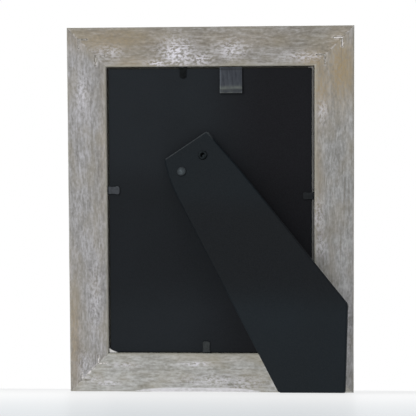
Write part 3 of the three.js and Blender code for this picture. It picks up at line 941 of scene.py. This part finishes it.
def add_floor():
    """A shooting table lit from below: white far away and pale grey near the camera. It
    takes soft shadows, gives a dim and blurred reflection and lights the frame evenly."""
    material = bpy.data.materials.new("white_acrylic_table")
    material.use_nodes = True
    tree = material.node_tree
    tree.nodes.clear()
    place = add(tree, "ShaderNodeTexCoord").outputs["Object"]
    toward = add(tree, "ShaderNodeSeparateXYZ", {0: place}).outputs[1]
    nearness = add(
        tree, "ShaderNodeMapRange",
        {"Value": toward, "From Min": FLOOR_FADE[0], "From Max": FLOOR_FADE[1]}, clamp=True)
    steeper = add(
        tree, "ShaderNodeMath", {0: nearness.outputs[0], 1: FADE_POWER}, operation="POWER")
    share = scaled(tree, steeper.outputs[0], 1 - FIRST_SHARE, FIRST_SHARE)
    tint = mixed(tree, share, "#ffffff", FLOOR_NEAR)
    lit = add(tree, "ShaderNodeBsdfDiffuse", {"Color": tint})
    glow = add(tree, "ShaderNodeEmission", {"Color": tint, "Strength": FLOOR_GLOW})
    body = add(
        tree, "ShaderNodeMixShader", {0: GLOW_SHARE, 1: lit.outputs[0], 2: glow.outputs[0]})
    white = linear("#ffffff")
    sheen = add(tree, "ShaderNodeBsdfGlossy", {"Color": white, "Roughness": SHEEN_ROUGHNESS})
    seen = add(
        tree, "ShaderNodeMixShader", {0: FLOOR_SHEEN, 1: body.outputs[0], 2: sheen.outputs[0]})
    bounce = add(tree, "ShaderNodeEmission", {"Color": white, "Strength": BOUNCE})
    camera_ray = add(tree, "ShaderNodeLightPath").outputs["Is Camera Ray"]
    both = add(
        tree, "ShaderNodeMixShader", {0: camera_ray, 1: bounce.outputs[0], 2: seen.outputs[0]})
    add(tree, "ShaderNodeOutputMaterial", {"Surface": both.outputs[0]})
    bm = bmesh.new()
    bmesh.ops.create_grid(bm, x_segments=1, y_segments=1, size=FLOOR_HALF_SIZE)
    mesh = bpy.data.meshes.new("table")
    bm.to_mesh(mesh)
    bm.free()
    mesh.materials.append(material)
    floor = bpy.data.objects.new("table", mesh)
    bpy.context.scene.collection.objects.link(floor)


def add_world():
    """A white room: white where it is seen or mirrored, and a plain soft light."""
    world = bpy.data.worlds.new("white_room")
    world.use_nodes = True
    tree = world.node_tree
    tree.nodes.clear()
    path = add(tree, "ShaderNodeLightPath").outputs
    seen = path["Is Camera Ray"]
    for ray in ("Is Glossy Ray", "Is Transmission Ray"):
        seen = add(
            tree, "ShaderNodeMath", {0: seen, 1: path[ray]}, operation="MAXIMUM").outputs[0]
    strength = add(
        tree, "ShaderNodeMapRange", {"Value": seen, "To Min": ROOM, "To Max": 1.0})
    light = add(
        tree, "ShaderNodeBackground",
        {"Color": linear("#ffffff"), "Strength": strength.outputs[0]})
    add(tree, "ShaderNodeOutputWorld", {"Surface": light.outputs[0]})
    bpy.context.scene.world = world


def add_lamp(name, place, size, power):
    """A square soft box that points at the middle of the frame."""
    data = bpy.data.lights.new(name, "AREA")
    data.size = size
    data.energy = power
    lamp = bpy.data.objects.new(name, data)
    lamp.location = place
    lamp.rotation_euler = (LAMP_AIM - Vector(place)).to_track_quat("-Z", "Y").to_euler()
    bpy.context.scene.collection.objects.link(lamp)


def add_camera():
    """The photo's viewpoint: 0.8 m behind the frame and hardly above the table."""
    data = bpy.data.cameras.new("camera")
    data.sensor_width = SENSOR
    data.lens = SENSOR * FOCAL_PIXELS / PHOTO_PIXELS
    data.clip_start = 0.02
    yaw, pitch, roll = (math.radians(angle) for angle in (YAW, PITCH, ROLL))
    forward = Vector((
        -math.sin(yaw) * math.cos(pitch), math.cos(yaw) * math.cos(pitch), math.sin(pitch)))
    level = Vector((math.cos(yaw), math.sin(yaw), 0))
    upward = level.cross(forward)
    right = math.cos(roll) * level + math.sin(roll) * upward
    up = math.cos(roll) * upward - math.sin(roll) * level
    camera = bpy.data.objects.new("camera", data)
    turned = Matrix((right, up, -forward)).transposed().to_4x4()
    camera.matrix_world = Matrix.Translation(CAMERA_PLACE) @ turned
    bpy.context.scene.collection.objects.link(camera)
    bpy.context.scene.camera = camera


# Putting it together

# Where flakes of white wash gather on each rail, and where the wood is tan, on the
# upright back: (x, z, half width, half height, weight)
TOP_PATCHES = [
    (-21, 215, 10, 9, 1.0), (-33, 209, 7, 2.2, 0.9), (-7, 211.5, 8, 4, 0.8),
    (13.5, 217, 9, 5.5, 0.7), (58, 212.5, 12, 3, 0.6), (-64, 216, 9, 4, 0.5),
]
# On the bottom rail the pale patches near x 20 also lift the shade that the strut casts there:
# painted light.
BOTTOM_PATCHES = [
    (-9, 18.2, 9, 1.3, 0.9), (2, 7.5, 24, 4, 0.5), (20, 6, 14, 5, 0.5),
    (-66, 5.5, 7, 1.6, 0.8), (-55, 17, 9, 2, 0.5), (-76, 8, 8, 3, 0.45),
]
LEFT_PATCHES = [(-81, 190, 5, 14, 0.45), (-74, 60, 4, 25, 0.35), (-80, 17, 6, 9, 0.35)]
RIGHT_PATCHES = [
    (70.5, 178, 3, 7, 0.5), (67.5, 112, 4, 11, 0.45), (69.5, 94, 4, 7, 0.45),
    (87, 40, 3, 26, 0.3),
]
TAN_PATCHES = [
    (-62, 224, 32, 8, 1.0), (-48, 208, 15, 7, 0.9), (66, 209, 10, 8, 1.3),
    (69, 194, 9, 20, 1.3), (82, 205, 9, 22, 1.7), (67.5, 135, 3.5, 45, 0.55),
    (20, 224, 40, 6, 0.4), (-67, 160, 3.5, 45, 0.45), (-87.5, 35, 4, 36, 1.0),
    (5, 22, 28, 4, 0.3),
]

# One washed softwood in four copies: the bottom rail's is lighter, painted light from the white
# table below, and the top rail's darker, painted shade.
wood_across = weathered_wood(
    "washed_softwood_across", 0, "#6b675f", "#898681", "#aeadad", "#8c8573", 0.32)
wood_low = weathered_wood(
    "washed_softwood_foot", 0, "#7d7b73", "#9e9e9a", "#c1c1c1", "#999382", 0.4)
wood_down = weathered_wood(
    "washed_softwood_upright", 2, "#716f6e", "#908f8e", "#b2b1b6", "#8f897b", 0.4)
wood_warm = weathered_wood(
    "washed_softwood_warm", 2, "#71706c", "#90908f", "#b0b0b1", "#8c8577", 0.4)

rails = [
    rail("rail_bottom", "bottom", WIDTH, wood_low, BOTTOM_PATCHES, worn=True),
    rail("rail_top", "top", WIDTH, wood_across, TOP_PATCHES),
    rail("stile_left", "left", HEIGHT, wood_down, LEFT_PATCHES),
    rail("stile_right", "right", HEIGHT, wood_warm, RIGHT_PATCHES),
]
cut_with(rails, v_nail_cutter())

# The board: painted light and shade, lighter on the left, darker to the right of the strut, and
# dimmer in a band of heights
board_paper = black_paper(
    "black_kraft_paper_board", "#1b1f23", "#101014", axis=0, painted_light_fade=(-15.0, 40.0),
    dim_band=(42.0, 72.0, 117.0, 147.0), dimmed=0.3)
# The strut: lighter towards its foot, painted light from the white table below, and dimmer in a
# band of heights
strut_paper = black_paper(
    "black_kraft_paper_strut", "#091116", "#11181d", axis=2, painted_light_fade=(80.0, 50.0),
    dim_band=(48.0, 72.0, 106.0, 128.0), dimmed=0.5)
# The tabs are all one zinc-plated steel. Its dim, dark and darkest copies are painted shade, for
# the tabs that catch less light; the hinge's leaves under the strut take the dark one.
steel = brushed_metal("zinc_plated_steel", "#404347", "#2f3134", 0.45)
light_shade_steel = brushed_metal("zinc_steel_painted_shade_light", "#3a3d3e", "#2b2d2e", 0.5)
shade_steel = brushed_metal("zinc_steel_painted_shade", "#26282a", "#1a1b1c", 0.5)
deep_shade_steel = brushed_metal("zinc_steel_painted_shade_deep", "#191b1c", "#111213", 0.6)
rivet_steel = brushed_metal("tarnished_rivet", "#363b3e", "#2d3133", 0.55)
eyelet_steel = brushed_metal("black_japanned_rivet", "#1d2123", "#0e1011", 0.5)
glass = sheet_glass("float_glass")
insert_paper = plain_card("white_paper", "#fbfaf8", "#f0efeb")
torn_paper = plain_card("soiled_white_paper", "#d3d2d1", "#bdbcba")
card = plain_card("grey_card", "#5e5d58", "#4b4a46")
thick_wash = old_whitewash("thick_whitewash_over_nails", "#ece8e7", "#8f8b82")
thin_wash = old_whitewash("thin_whitewash_over_nails", "#c4c0ba", "#827e76")
ribbon_cloth = woven_ribbon("grey_polyester_ribbon")

tab("bottom", -3.1, 7.5, light_shade_steel, flare=0.1)
tab("top", 17.1, 7.3, deep_shade_steel, flare=-0.4)
tab("left", -13.1, 7.7, steel, flare=0.35, spring=0.3)
tab("right", 9.3, 7.3, shade_steel, spring=0.2)
ribbon(ribbon_cloth)
strut_board(strut_paper)
insert_corner(torn_paper)

# The V nails whose wash is thick, and what the other pieces are made of
THICKLY_WASHED = ("bl_outer", "bl_inner", "tr_outer")
FINISHES = {
    "backing_board": board_paper,
    "glass": glass,
    "photo_insert": insert_paper,
    "filler_card": card,
    "hinge_leaf_board": shade_steel,
    "hinge_leaf_strut": shade_steel,
    "hinge_pin": steel,
    "board_rivet_left": steel,
    "board_rivet_right": steel,
    "strut_rivet_left": rivet_steel,
    "strut_rivet_right": eyelet_steel,
}
for name, node in nodes.items():
    if name.startswith("v_nail"):
        finish = thick_wash if name.endswith(THICKLY_WASHED) else thin_wash
    # The roots of the right and top tabs take the darkest painted shade
    elif name.startswith("flex_root"):
        finish = deep_shade_steel if name.endswith(("right", "top")) else steel
    else:
        finish = FINISHES.get(name)
    if finish:
        node.data.materials.clear()
        node.data.materials.append(finish)

add_floor()
add_world()
add_lamp("key_left", (-1.3, -2.2, 0.6), size=1.0, power=10)
add_lamp("key_high", (-0.9, -1.3, 1.0), size=0.25, power=13)
add_lamp("fill_right", (1.1, -2.4, 0.7), size=1.0, power=3)
add_camera()
bpy.context.scene.view_settings.view_transform = "Standard"
